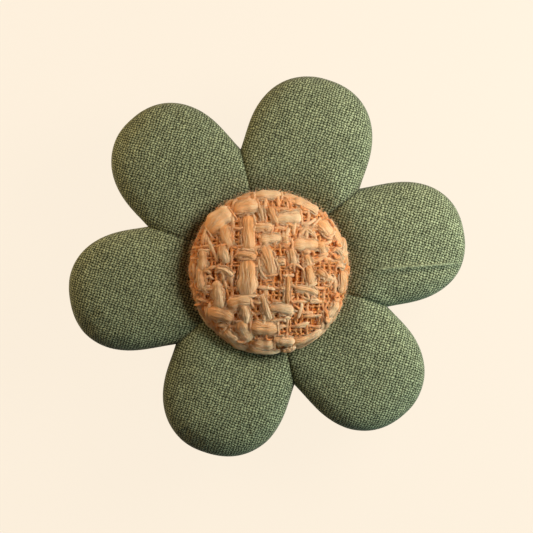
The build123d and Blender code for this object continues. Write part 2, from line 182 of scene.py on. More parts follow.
# Slubs as seen from above, in mm right of and above the button's middle: start, end, width and bend
SLUBS = (
    (-2.3, 11.4, 2.1, 11.5, 1.6, 0.1), (-5.3, 9.1, -1.4, 10.0, 2.0, 0.1), (-9.3, 6.0, -5.5, 9.0, 3.0, 0.2),
    (-6.5, 7.0, -5.9, 3.7, 1.8, -0.25), (-3.1, 8.4, -3.0, 3.0, 2.0, 0.05), (-2.2, 6.7, 0.6, 6.2, 1.3, 0.1),
    (-1.4, 4.6, 1.9, 4.8, 1.6, 0.1), (1.0, 7.7, 5.0, 8.1, 1.85, 0.1), (3.4, 3.6, 7.9, 3.9, 1.75, 0.2),
    (7.6, 4.2, 8.2, 2.4, 1.0, 0.2), (-0.7, 3.9, 0.5, -0.8, 1.5, 0.15), (-1.4, 2.2, -0.2, -1.6, 0.5, -0.5),
    (-3.3, 1.9, -3.1, -4.0, 2.6, 0.05), (-9.8, 3.2, -9.9, 0.0, 1.4, -0.1),
    (-10.2, 0.4, -10.2, -2.8, 1.3, -0.15), (-6.9, 3.9, -6.2, 1.2, 1.4, -0.2),
    (-4.9, 2.7, -1.9, 1.9, 0.85, 0.15), (-7.7, -1.5, -7.3, -5.7, 1.5, -0.15),
    (-9.3, -6.0, -5.4, -7.2, 2.2, 0.1), (-6.2, -5.0, -2.6, -4.4, 1.6, 0.1),
    (-3.9, -5.0, -3.4, -8.0, 1.2, 0.15), (-4.3, -7.4, -2.9, -10.6, 1.75, -0.1),
    (-2.9, -8.6, 1.5, -8.6, 2.0, 0.0), (0.0, -5.7, 3.8, -5.9, 1.4, 0.15),
    (-1.2, -3.6, 0.2, -7.4, 0.95, 0.1), (5.7, 2.4, 5.9, 0.6, 0.9, 0.0), (5.9, 0.9, 6.5, -2.2, 1.3, -0.1),
    (2.9, -0.6, 2.7, -5.0, 0.75, 0.1), (3.9, -2.5, 7.4, -3.6, 0.75, 0.25), (7.3, 0.0, 9.7, -1.5, 0.75, 0.1),
    (7.1, 7.4, 9.6, 5.3, 1.9, 0.2), (3.9, 10.7, 7.4, 8.9, 1.6, 0.2), (4.6, 5.2, 7.0, 5.4, 0.55, 1.0),
    (10.0, 3.4, 11.3, 1.6, 0.7, 0.3), (10.3, 1.4, 11.6, 0.6, 0.6, -0.2), (3.4, -10.9, 8.2, -8.8, 1.5, -0.2),
    (11.3, 0.0, 10.9, -3.4, 1.3, 0.1), (10.4, -4.6, 8.9, -7.2, 1.4, 0.1), (11.0, 5.0, 11.6, 2.2, 1.2, -0.1),
    (-2.4, -11.0, 0.9, -11.3, 1.7, -0.2), (0.7, -10.3, 3.9, -10.5, 1.4, -0.2),
    (-6.9, -9.0, -4.4, -10.6, 1.5, -0.2), (1.1, 1.5, 2.5, 1.3, 0.65, 0.1),
    (1.5, -2.4, 2.5, -2.6, 0.55, 0.0), (2.4, 5.3, 2.6, 4.0, 0.85, 0.1), (3.4, 3.4, 3.7, 0.7, 0.8, 0.1),
    (-7.9, 0.4, -5.3, -0.7, 0.8, 0.1), (-10.5, -2.2, -9.3, -3.1, 0.7, 0.1), (0.3, 9.7, 1.4, 7.0, 0.8, -0.2),
    (-1.2, 9.9, -1.0, 7.3, 0.5, 0.1),
)


# ---- Camera, floor and light


def linked(name, data):
    """A new object of the scene."""
    made = bpy.data.objects.new(name, data)
    bpy.context.scene.collection.objects.link(made)
    return made


def make_camera():
    """A long lens that looks straight down on the flower's face."""
    data = bpy.data.cameras.new("camera")
    data.sensor_width, data.lens = SENSOR, SENSOR * CAMERA_DISTANCE / SEEN_WIDTH
    data.clip_start, data.clip_end = 0.01, 10.0
    camera = linked("camera", data)
    aside = CAMERA_ASIDE * (VIEW_UP - VIEW_RIGHT)
    camera.location = Vector((*aside, CAMERA_DISTANCE + FACE_Z)) * MM
    camera.rotation_euler = (0, 0, ROLL)
    bpy.context.scene.camera = camera


def make_light(name, right, up, height, size, power, color):
    """A square soft light, placed in the view's own directions and aimed at the flower."""
    data = bpy.data.lights.new(name, "AREA")
    data.energy, data.size, data.color = power, size * MM, color
    light = linked(name, data)
    light.location = Vector((*(right * VIEW_RIGHT + up * VIEW_UP), height)) * MM
    aim = Vector((0, 0, CROWN * MM)) - light.location
    light.rotation_euler = aim.to_track_quat("-Z", "Y").to_euler()
    light.visible_camera = False


def make_stage():
    """A pale floor, a dim even surround, and three soft lights."""
    bpy.context.scene.view_settings.view_transform = "Standard"
    world = bpy.data.worlds.new("surround")
    world.use_nodes = True
    background = world.node_tree.nodes["Background"]
    background.inputs["Color"].default_value = SURROUND
    background.inputs["Strength"].default_value = SURROUND_STRENGTH
    bpy.context.scene.world = world

    mesh = bpy.data.meshes.new("floor")
    ends = (-FLOOR_REACH, FLOOR_REACH)
    mesh.from_pydata([(x, y, 0) for x in ends for y in ends], [], [(0, 2, 3, 1)])
    floor = linked("floor", mesh)
    floor.visible_diffuse = False
    paper = Shader("floor_paper", 1.0, Base_Color=FLOOR_COLOR, Specular_IOR_Level=0.0,
                   Emission_Color=FLOOR_GLOW, Emission_Strength=FLOOR_GLOW_STRENGTH)
    mesh.materials.append(paper.material)
    for light in LIGHTS:
        make_light(*light)


# ---- Node materials


class Shader:
    """A Principled material with short calls for its nodes."""

    def __init__(self, name, roughness, **sockets):
        self.material = bpy.data.materials.new(name)
        self.material.use_nodes = True
        self.tree = self.material.node_tree
        self.surface = self.tree.nodes["Principled BSDF"]
        self.surface.inputs["Roughness"].default_value = roughness
        for socket, value in sockets.items():
            self.surface.inputs[socket.replace("_", " ")].default_value = value

    def node(self, kind, output=0, settings=(), **inputs):
        """Adds a node. Inputs go by name or, as in_0, by number, and are sockets or values."""
        made = self.tree.nodes.new(kind)
        for key, value in dict(settings).items():
            setattr(made, key, value)
        for key, value in inputs.items():
            target = made.inputs[int(key[3:])] if key.startswith("in_") else made.inputs[key]
            if isinstance(value, bpy.types.NodeSocket):
                self.tree.links.new(value, target)
            else:
                target.default_value = value
        return made.outputs[output]

    def math(self, operation, *values):
        """A Math node."""
        inputs = {f"in_{index}": value for index, value in enumerate(values)}
        return self.node("ShaderNodeMath", settings={"operation": operation}, **inputs)

    def plus(self, first, second):
        """A sum."""
        return self.math("ADD", first, second)

    def times(self, first, second):
        """A product."""
        return self.math("MULTIPLY", first, second)

    def line(self, value, slope, start):
        """A value times a slope, plus a start."""
        return self.math("MULTIPLY_ADD", value, slope, start)

    def attribute(self, name):
        """The x, y and z sockets of a mesh attribute."""
        read = self.node("ShaderNodeAttribute", "Vector", {"attribute_name": name})
        return self.node("ShaderNodeSeparateXYZ", in_0=read).node.outputs

    def position(self):
        """Object coordinates, in metres."""
        return self.node("ShaderNodeTexCoord", "Object")

    def vector(self, x=0.0, y=0.0, z=0.0):
        """A vector of three sockets or numbers."""
        return self.node("ShaderNodeCombineXYZ", in_0=x, in_1=y, in_2=z)

    def noise(self, vector, scale, detail=2.0, roughness=0.5):
        """A noise texture's value, about 0.5 on average."""
        inputs = {"Vector": vector, "Scale": scale, "Detail": detail, "Roughness": roughness}
        return self.node("ShaderNodeTexNoise", **inputs)

    def white(self, value):
        """A random number for each whole value."""
        return self.node("ShaderNodeTexWhiteNoise", "Value", {"noise_dimensions": "1D"}, W=value)

    def remap(self, value, low, high):
        """How far a value is from low, as 0, to high, as 1."""
        return self.node("ShaderNodeMapRange", in_0=value, in_1=low, in_2=high)

    def drift(self, where, amount):
        """How far a thread strays from its place, in mm."""
        slow = self.line(self.noise(where, 0.3, 2.0), 0.7 * amount, -0.35 * amount)
        return self.plus(slow, self.line(self.noise(where, 1.7, 1.0), 0.46 * amount, -0.23 * amount))

    def mix(self, factor, first, second):
        """A colour between two colours."""
        colors = {"in_6": opaque(first), "in_7": opaque(second)}
        return self.node("ShaderNodeMix", 2, {"data_type": "RGBA"}, in_0=factor, **colors)

    def scaled(self, vector, factor):
        """A vector, or a colour, times a factor."""
        return self.node("ShaderNodeVectorMath", 0, {"operation": "SCALE"}, in_0=vector, Scale=factor)

    def link(self, socket, name):
        """Links a socket to one of the surface's own."""
        self.tree.links.new(socket, self.surface.inputs[name])

    def color(self, factor, dark, light):
        """Makes the surface's colour a mix."""
        self.link(self.mix(factor, dark, light), "Base Color")

    def bump(self, height, distance, strength=1.0):
        """Links a bump of height 0 to 1, distance mm high."""
        inputs = {"Height": height, "Distance": distance * MM, "Strength": strength}
        self.link(self.node("ShaderNodeBump", **inputs), "Normal")


def opaque(color):
    """A colour with its alpha, or a socket as it is."""
    return color if isinstance(color, bpy.types.NodeSocket) else (*color, 1)


def weave_material(name, bright, dark, pitches, depth, uneven=1.0):
    """Plain weave on the fabric attribute: mm across the warp, mm across the weft, and the painted highlight
    along a fold.
    """
    s = Shader(name, 0.88, Sheen_Weight=0.10, Sheen_Roughness=0.5, Specular_IOR_Level=0.2)
    cloth = s.attribute("fabric")
    flat = s.vector(cloth[0], cloth[1])
    aside = s.vector(s.plus(cloth[1], 40.0), cloth[0])
    x, y = (
        s.math("DIVIDE", s.plus(place, s.drift(where, uneven)), pitch)
        for place, where, pitch in zip(cloth, (flat, aside), pitches)
    )
    column, row = s.math("FLOOR", x), s.math("FLOOR", y)

    def thread(across, index, along, sign):
        """Height of one thread system: round across, and over and under along."""
        middle = s.math("SUBTRACT", s.math("SUBTRACT", across, index), 0.5)
        square = s.line(s.times(middle, middle), -THREAD_ROUND, 1.0)
        flip = s.math("COSINE", s.times(index, math.pi))
        crimp = s.times(flip, s.math("SINE", s.times(along, math.pi)))
        return s.line(crimp, sign, s.math("SQRT", s.math("MAXIMUM", square, 0.0)))

    height = s.math("MAXIMUM", thread(x, column, y, 1.0), thread(y, row, x, -1.0))
    # Painted shade: the colour runs from the bright colour on each thread's crown to the dark colour in the
    # gaps between the threads
    crown = s.math("POWER", s.remap(height, 0.45, 1.9), WEAVE_CONTRAST)
    # Painted highlight: the weave is paler along the fold's crest, as if the crest caught the light
    crown = s.math("MAXIMUM", crown, s.times(cloth[2], FOLD_CREST_HIGHLIGHT))
    crossing = s.white(s.line(column, CROSSING_SEEDS[0], s.times(row, CROSSING_SEEDS[1])))
    ends = s.plus(s.white(column), s.white(s.plus(row, WEFT_SEED)))
    mottle = s.plus(s.noise(flat, 0.16, 2.0), s.noise(aside, 1.3, 2.0))
    shade = s.line(crossing, 0.5 * uneven, 1 - 0.25 * uneven)
    shade = s.times(shade, s.line(ends, 0.10, 0.90))
    shade = s.times(shade, s.line(mottle, 0.3, 0.7))
    s.link(s.scaled(s.mix(crown, dark, bright), shade), "Base Color")
    s.bump(s.remap(height, 0.0, 2.0), depth)
    return s.material


# ---- Mesh helpers


def new_object(name, mesh, material, body="flower"):
    """Links a mesh as a piece that rides on a body."""
    piece = linked(name, mesh)
    mesh.materials.append(material)
    if body:
        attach(piece, body)
    return piece


def mesh_from(name, points, faces):
    """A smooth mesh from points in mm."""
    mesh = bpy.data.meshes.new(name)
    mesh.from_pydata((np.asarray(points, float) * MM).tolist(), [], [tuple(map(int, face)) for face in faces])
    mesh.shade_smooth()
    mesh.update()
    return mesh


def clean(mesh, distance=0.004):
    """Joins doubled points, drops empty faces and turns the normals outward."""
    edit = bmesh.new()
    edit.from_mesh(mesh)
    bmesh.ops.remove_doubles(edit, verts=edit.verts, dist=distance * MM)
    bmesh.ops.dissolve_degenerate(edit, edges=edit.edges, dist=distance * MM * 0.5)
    bmesh.ops.recalc_face_normals(edit, faces=edit.faces)
    edit.to_mesh(mesh)
    edit.free()
    mesh.shade_smooth()
    mesh.update()


def set_points(mesh, points):
    """Moves a mesh's points, given in mm."""
    mesh.vertices.foreach_set("co", (points * MM).astype(np.float32).ravel())
    mesh.update()


def get_points(mesh):
    """A mesh's points in mm."""
    flat = np.zeros(len(mesh.vertices) * 3, np.float32)
    mesh.vertices.foreach_get("co", flat)
    return flat.reshape(-1, 3).astype(float) / MM


def set_fabric(mesh, corner_values):
    """Stores cloth coordinates, in mm, for each face corner."""
    layer = mesh.attributes.new("fabric", "FLOAT_VECTOR", "CORNER")
    layer.data.foreach_set("vector", np.asarray(corner_values, np.float32).ravel())


def set_fold_highlight(mesh, wear_and_highlight):
    """Writes the painted highlight along the fold at each vertex as the third value of the fabric attribute.
    """
    corners = np.empty(len(mesh.loops), np.int32)
    mesh.loops.foreach_get("vertex_index", corners)
    values = np.empty(len(corners) * 3, np.float32)
    mesh.attributes["fabric"].data.foreach_get("vector", values)
    values[2::3] = wear_and_highlight[corners]
    mesh.attributes["fabric"].data.foreach_set("vector", values)


def grid_faces(rows, columns, first=0, closed=False):
    """Quads of a grid of points that is listed row by row. In a closed one the rows are rings."""
    faces = []
    for low in range(first, first + (rows - 1) * columns, columns):
        for column in range(columns if closed else columns - 1):
            beside = (column + 1) % columns
            faces.append((low + column, low + beside, low + columns + beside, low + columns + column))
    return faces


def waves(points, fineness, height, shift=(0, 0, 0)):
    """Noise at each point, as a height in mm."""
    return height * np.array([noise.noise(Vector(place) * fineness + Vector(shift)) for place in points])


def applied(piece):
    """Replaces a piece's mesh with what its modifiers make of it."""
    graph = bpy.context.evaluated_depsgraph_get()
    mesh = bpy.data.meshes.new_from_object(piece.evaluated_get(graph))
    piece.modifiers.clear()
    piece.data = mesh
    mesh.shade_smooth()


def thicken(piece, thickness, even=False):
    """Gives a sheet its thickness in mm, on its inner side."""
    solid = piece.modifiers.new("thickness", "SOLIDIFY")
    solid.thickness, solid.offset, solid.use_quality_normals = thickness * MM, -1, even
    applied(piece)


def arc_lengths(points):
    """The distance along a line of points to each of them."""
    return np.concatenate(([0], np.cumsum(np.linalg.norm(np.diff(points, axis=0), axis=1))))


# ---- The flower's shape


def along_and_across(direction):
    """A petal's own two directions in plan."""
    angle = math.radians(direction)
    return np.array((math.cos(angle), math.sin(angle))), np.array((-math.sin(angle), math.cos(angle)))


def notch(index):
    """Where the left side of a petal meets the right side of the next one."""
    _, direction, _, half = PETALS[index]
    _, next_direction, _, next_half = PETALS[(index + 1) % len(PETALS)]
    sides = np.array((along_and_across(direction)[1], along_and_across(next_direction)[1]))
    return np.linalg.solve(sides, np.array((half, -next_half)))


def beside_crease(index, points):
    """A crease's reach from the middle, and how far points are to its left and ahead along it, in plan."""
    corner = notch(index)
    reach = np.hypot(*corner)
    x, y = corner / reach
    return reach, points[:, 1] * x - points[:, 0] * y, points[:, 0] * x + points[:, 1] * y


def ring(index, share, flat_share, gap=0.0):
    """One U-shaped line of points round a petal, at a share of its width, and the same line at another share.

    It runs from the crease on the petal's right round the nose to the one on its left, with a gap to both.
    """
    _, direction, reach, half = PETALS[index]
    axes = np.array(along_and_across(direction))
    nose_u = reach - NOSE_LENGTH
    steps = np.linspace(0, 1, FLANK_COLUMNS, endpoint=False) ** FLANK_CROWD
    starts = (notch(side) @ axes[0] * share + gap for side in (index - 1, index))
    right, left = (start + (nose_u - start) * steps for start in starts)
    angles = np.linspace(-math.pi / 2, math.pi / 2, NOSE_COLUMNS + 1)
    nose_x = NOSE_LENGTH * np.abs(np.cos(angles)) ** (2 / NOSE_POWER)
    nose_y = half * np.sign(np.sin(angles)) * np.abs(np.sin(angles)) ** (2 / NOSE_POWER)
    aside = np.concatenate((np.full(FLANK_COLUMNS, -half), nose_y, np.full(FLANK_COLUMNS, half)))
    return [
        np.column_stack((np.concatenate((right, nose_u + part * nose_x, left[::-1])), part * aside)) @ axes
        for part in (share, flat_share)
    ]


def resample(points, count, crowd=1.0):
    """Points spread evenly along a line, or crowded towards its end."""
    lengths = arc_lengths(points)
    wanted = lengths[-1] * (1 - (1 - np.linspace(0, 1, count)) ** crowd)
    return np.column_stack([np.interp(wanted, lengths, points[:, axis]) for axis in (0, 1)])


def puff_section(top, low, top_rows, side_rows):
    """A petal's cross-section over the crown and down round the edge, as (share of half width, height)."""
    turn = np.linspace(0, math.pi / 2, 400)
    sine, cosine = np.sin(turn), np.abs(np.cos(turn))
    over = np.column_stack((
        MEAN_HALF * sine ** (2 / PUFF_POWER),
        WIDEST_Z + (top - WIDEST_Z) * cosine ** (2 / PUFF_POWER),
    ))
    under = np.column_stack((
        MEAN_HALF * (1 - EDGE_TUCK / MEAN_HALF * (1 - cosine**EDGE_POWER)),
        WIDEST_Z - (WIDEST_Z - low) * sine**EDGE_POWER,
    ))
    section = np.vstack((resample(over, top_rows, 1.25), resample(under, side_rows)[1:]))
    return section / (MEAN_HALF, 1)


def flat_run(start, end, height, count):
    """The level part of a cross-section, from one share of the half width to another."""
    return np.column_stack((np.linspace(start, end, count), np.full(count, height)))


def smooth_lower(first, second, blend):
    """The lower of two heights, with a rounded change from one to the other."""
    mixed = np.clip(0.5 + 0.5 * (second - first) / blend, 0, 1)
    return second + (first - second) * mixed - blend * mixed * (1 - mixed)


def pressed(points, top):
    """Presses the seat of the button and the creases between the petals into a petal's upper side."""
    out = points.copy()
    upper = np.clip((out[:, 2] - WIDEST_Z) / (top - WIDEST_Z), 0, 1)
    outside = np.maximum(np.hypot(out[:, 0], out[:, 1]) - SEAT_RADIUS, 0)
    cone = (SEAT_Z - SEAT_SINK) - (CROWN - top) + outside * math.tan(SEAT_SLOPE)
    seated = smooth_lower(out[:, 2], cone, SEAT_BLEND)
    pull = np.zeros(len(out))
    for index, slit in enumerate(CREASE_SLITS):
        reach, off, ahead = beside_crease(index, out)
        fade = np.clip((ahead - CREASE_START) / CREASE_RISE, 0, 1)
        fade = fade * np.clip((reach + CREASE_PAST - ahead) / CREASE_FALL, 0, 1)
        valley = CREASE_DEPTH * np.exp(-np.abs(off) / np.where(off > 0, CREASE_STEEP, CREASE_GENTLE))
        pull = np.maximum(pull, fade * (valley + slit * np.exp(-((off / SLIT_WIDTH) ** 2))))
    out[:, 2] = out[:, 2] + (seated - out[:, 2]) * np.clip(upper * 3, 0, 1) - pull * upper
    return out


def petal_grid(index, section, gap=0.0):
    """One petal's points and cloth places, row by row, for a cross-section that runs out from its spine."""
    half = PETALS[index][3]
    points, cloth = [], []
    for (share, height), length in zip(section, arc_lengths(section * (half, 1))):
        plan, flat = ring(index, share, length / half, gap)
        points.append(np.column_stack((plan, np.full(COLUMNS, height))))
        cloth.append(flat)
    return np.vstack(points), np.vstack(cloth)


def cloth_corners(cloth, faces, warp_across, weft_across):
    """Distances across the warp and the weft, in mm, for each face corner."""
    across = np.array([(math.cos(angle), math.sin(angle)) for angle in (warp_across, weft_across)])
    places = cloth[np.ravel(faces)] @ across.T
    return np.column_stack((places, np.zeros(len(places))))


def puffed_flower(name, section, press=True):
    """A flower of six petals that share one cross-section and meet in creases.

    A pressed one has cloth that wraps round it; a flat one has cloth that lies as it is seen from above.
    """
    points, faces, cloth = [], [], []
    for index in range(len(PETALS)):
        petal, flat = petal_grid(index, section)
        points.append(pressed(petal, CROWN) if press else petal)
        cloth.append(flat if press else petal[:, :2])
        faces += grid_faces(len(section), COLUMNS, index * len(petal))
    mesh = mesh_from(name, np.vstack(points), faces)
    set_fabric(mesh, cloth_corners(np.vstack(cloth), faces, WARP_ACROSS, WEFT_ACROSS))
    clean(mesh)
    return mesh


def cover_section():
    """Cross-section of the face fabric: over the crown, round the edge, and under to the end of the hem."""
    section = puff_section(CROWN, HEM_LOW, 44, 9)
    hem = flat_run(section[-1, 0], 1 - HEM_WIDTH / MEAN_HALF, HEM_LOW, 7)
    return np.vstack((section, hem[1:]))


def open_middle(mesh, radius):
    """Cuts the shank's hole and makes its edge round."""
    edit = bmesh.new()
    edit.from_mesh(mesh)
    inside = [face for face in edit.faces if all(vert.co.xy.length < radius * MM for vert in face.verts)]
    bmesh.ops.delete(edit, geom=inside, context="FACES")
    for vert in edit.verts:
        if vert.is_boundary and vert.co.xy.length < radius * MM * 1.3:
            vert.co.xy = vert.co.xy.normalized() * radius * MM
    edit.to_mesh(mesh)
    edit.free()


def simulated_puff():
    """Rest points and moves, in mm, of a closed flower blown up while its creases, seat and hem hold."""
    section = puff_section(CROWN, HEM_LOW, 20, 7)
    under = flat_run(section[-1, 0], 0, HEM_LOW, 9)
    mesh = puffed_flower("sim_flower", np.vstack((section, under[1:])))
    set_points(mesh, get_points(mesh) * SIM_SCALE)
    body = linked("sim_flower", mesh)
    remesh = body.modifiers.new("voxels", "REMESH")
    remesh.mode, remesh.voxel_size = "VOXEL", SIM_VOXEL * SIM_SCALE * MM
    applied(body)
    rest = get_points(body.data) / SIM_SCALE

    hold = np.clip((WIDEST_Z - rest[:, 2]) / HOLD_EDGE + 1, 0, 1)
    radius = np.hypot(rest[:, 0], rest[:, 1])
    hold = np.maximum(hold, np.clip((HOLD_SEAT - radius) / HOLD_SEAT_RUN, 0, 1))
    for index in range(len(PETALS)):
        _, off, ahead = beside_crease(index, rest)
        beside = np.clip(HOLD_CREASE - np.abs(off) / HOLD_CREASE_RUN, 0, 1)
        hold = np.maximum(hold, beside * (ahead > 0))
    held = body.vertex_groups.new(name="held")
    for index, weight in enumerate(hold):
        held.add([index], float(weight), "REPLACE")

    cloth = body.modifiers.new("padding", "CLOTH")
    for key, value in SIM_CLOTH.items():
        setattr(cloth.settings, key, value)
    cloth.settings.effector_weights.gravity = 0
    cloth.point_cache.frame_end = SIM_FRAMES
    scene = bpy.context.scene
    for step in range(SIM_FRAMES):
        scene.frame_set(step + 1)
    graph = bpy.context.evaluated_depsgraph_get()
    blown = bpy.data.meshes.new_from_object(body.evaluated_get(graph))
    scene.frame_set(1)
    bpy.data.objects.remove(body)
    return rest, get_points(blown) / SIM_SCALE - rest


def puff_up(points, rest, moves):
    """Moves points as the simulated flower moved near them, by no more than the limit."""
    neighbours, blur = 6, 0.15
    tree = kdtree.KDTree(len(rest))
    for index, place in enumerate(rest):
        tree.insert(place, index)
    tree.balance()
    out = points.copy()
    for index, place in enumerate(points):
        near = tree.find_n(place, neighbours)
        weights = np.array([1 / (gap + blur) ** 2 for _, _, gap in near])
        move = weights @ moves[[found for _, found, _ in near]] / weights.sum()
        length = np.linalg.norm(move)
        if length > 1e-9:
            out[index] += move * min(1.0, PUFF_LIMIT * math.tanh(length / PUFF_LIMIT) / length)
    return out


def beside_line(points, start, end):
    """How far points lie to the left of a line in plan, and how much beside it, from 1 to 0 at its ends."""
    start, end = (x * VIEW_RIGHT + y * VIEW_UP for x, y in (start, end))
    length = np.hypot(*(end - start))
    ahead = (end - start) / length
    run = (points[:, :2] - start) @ ahead
    off = (points[:, :2] - start) @ np.array((-ahead[1], ahead[0]))
    return off, np.clip(run / 2, 0, 1) * np.clip((length - run) / 2, 0, 1)


def make_petal_cover():
    """The face fabric over all six pads, turned under the board."""
    mesh = puffed_flower("petal_cover_fabric", cover_section())
    points = get_points(mesh)
    points = puff_up(points, *simulated_puff())
    soft = np.clip((points[:, 2] - HEM_LOW - SOFT_START) / SOFT_RISE, 0, 1)
    points[:, 2] += (waves(points, *SLOW_WAVE) + waves(points, *FINE_WAVE)) * soft
    off, beside = beside_line(points, *FOLD)
    ridge = np.exp(-((off / FOLD_WIDTH) ** 2))
    ridge -= FOLD_DIP * np.exp(-(((off + FOLD_DIP_ASIDE) / FOLD_DIP_WIDTH) ** 2))
    points[:, 2] += FOLD_HEIGHT * ridge * beside * soft
    set_points(mesh, points)
    # Painted highlight along the fold's crest
    set_fold_highlight(mesh, np.exp(-((off / FOLD_HIGHLIGHT_WIDTH) ** 2)) * beside * soft)
    open_middle(mesh, SHANK_HOLE)
    material = weave_material("sage_plain_weave", SAGE, SAGE_GAP_SHADE, (WARP_PITCH, WEFT_PITCH), 0.10)
    cover = new_object("petal_cover_fabric", mesh, material)
    thicken(cover, FABRIC, True)
    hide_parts("petal_cover")


# ---- Pads, lining, stitches and felt


def make_pad(index):
    """One foam pad, inside its own petal of the cover."""
    name = PETALS[index][0]
    top = CROWN - PAD_BELOW_COVER
    section = puff_section(top, PAD_LOW, 22, 8)
    section[:, 0] *= 1 - PAD_INSET / MEAN_HALF
    section = np.vstack((section, flat_run(section[-1, 0], 0, PAD_LOW, 6)[1:]))
    points, _ = petal_grid(index, section, PAD_GAP)
    rows = len(section)
    faces = grid_faces(rows, COLUMNS)
    faces += [tuple(row * COLUMNS + end for row in range(rows)) for end in (0, COLUMNS - 1)]
    mesh = mesh_from(f"pad_{name}", pressed(points, top - 0.15), faces)
    clean(mesh)
    pad = new_object(f"pad_{name}", mesh, foam_material())
    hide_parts(f"petal_pad_{name}")


def make_lining():
    """The flower-shaped lining that covers the hem."""
    edge, soft = 1 - LINING_INSET / MEAN_HALF, LINING_EDGE / MEAN_HALF
    middle = (LINING_LOW + LINING_HIGH) / 2
    turn = np.linspace(0, math.pi, 9)
    height = middle + (LINING_HIGH - 0.02 - middle) * np.cos(turn)
    rounded = np.column_stack((edge - soft * (1 - np.sin(turn)), height))
    section = np.vstack((
        flat_run(0, rounded[0, 0], rounded[0, 1], 16)[:-1],
        rounded,
        flat_run(rounded[-1, 0], 0, rounded[-1, 1], 16)[1:],
    ))
    mesh = puffed_flower("lining_fabric", section, False)
    points = get_points(mesh)
    loose = (points[:, 2] < middle) & (np.hypot(points[:, 0], points[:, 1]) > 13)
    points[:, 2] += waves(points, 0.5, 0.05) * loose
    set_points(mesh, points)
    # The cotton's own colour, then painted shade for the gaps between its threads
    cotton, gap = (0.26, 0.28, 0.16), (0.02, 0.022, 0.01)
    material = weave_material("lining_cotton", cotton, gap, (0.30, 0.30), 0.05, 0.5)
    lining = new_object("lining_fabric", mesh, material)
    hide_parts("back_lining")


def rim_place(index, column, inset, height):
    """A place on a petal's outline, drawn in by an inset, at a height."""
    share = 1 - inset / PETALS[index][3]
    whole = int(column)
    low, high = ring(index, share, share)[0][whole:whole + 2]
    return np.append(low + (high - low) * (column - whole), height)


def make_whip_stitches():
    """Slanting stitches that hold the lining's edge to the hem, all the way round."""
    below = LINING_LOW - STITCH_RADIUS * 0.5
    stitch = (  # columns along the rim, mm inside the lining's edge, and height
        (-0.9, 0.85, LINING_LOW + 0.25),
        (-0.7, 0.75, below),
        (-0.1, 0.3, below - 0.02),
        (0.6, -0.1, (LINING_LOW + HEM_LOW) / 2),
        (0.9, -0.35, HEM_LOW - STITCH_RADIUS * 0.4),
        (1.0, -0.5, HEM_LOW + 0.2),
    )
    stitches = Strands()
    for index in range(len(PETALS)):
        for column in np.linspace(3, COLUMNS - 5, STITCHES_PER_PETAL):
            path = [rim_place(index, column + ahead, LINING_INSET + inset, z) for ahead, inset, z in stitch]
            stitches.add(smooth_path(path, 3), STITCH_RADIUS, (0, 0, -1), 6)
    stitches.build("whip_stitches", thread_material("stitch_thread", (0.12, 0.15, 0.08)), "thread")


def felt_heights(y):
    """Underside and top of the felt, which is a hat section over the clip's arm."""
    step = np.abs(y) - ARM_HALF_WIDTH
    shares = (np.clip((step - start) / run, 0, 1) for start, run in ((0.12, 0.5), (0.3, 0.95)))
    inner, outer = (share * share * (3 - 2 * share) for share in shares)
    top = FELT_UNDER_ARM_TOP + (FELT_TOP - FELT_UNDER_ARM_TOP) * inner
    low = FELT_UNDER_ARM_TOP - FELT_THICKNESS + (FELT_TOP - FELT_UNDER_ARM_TOP) * outer
    return low, top


def make_felt():
    """The felt disc, glued over the clip's fixed arm on to the lining."""
    low_corner, high_corner = (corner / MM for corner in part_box("felt_disc"))
    centre_x, radius = (low_corner.x + high_corner.x) / 2, (high_corner.x - low_corner.x) / 2
    rings, around = 40, 160
    turn = np.linspace(0, math.pi, 9)[1:-1]
    shares = np.concatenate((np.linspace(0, 1, rings), np.ones(len(turn)), np.linspace(1, 0, rings)))
    sides = np.concatenate((np.ones(rings), np.cos(turn), -np.ones(rings)))[:, None]
    bulge = np.concatenate((np.zeros(rings), FELT_EDGE * np.sin(turn), np.zeros(rings)))
    reach = ((radius - FELT_EDGE) * shares + bulge)[:, None]
    angles = np.linspace(0, 2 * math.pi, around, endpoint=False)
    x, y = reach * np.cos(angles), reach * np.sin(angles)
    low, top = felt_heights(y)
    z = (low + top) / 2 + sides * (top - low) / 2
    points = np.column_stack((centre_x + x.ravel(), y.ravel(), z.ravel()))
    points[:, 2] += waves(points, 1.3, 0.035) * (points[:, 2] < FELT_UNDER_ARM_TOP - 0.3)
    mesh = mesh_from("felt_patch", points, grid_faces(len(shares), around, closed=True))
    clean(mesh)
    felt = new_object("felt_patch", mesh, felt_material())
    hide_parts("felt_disc")


# ---- Spring


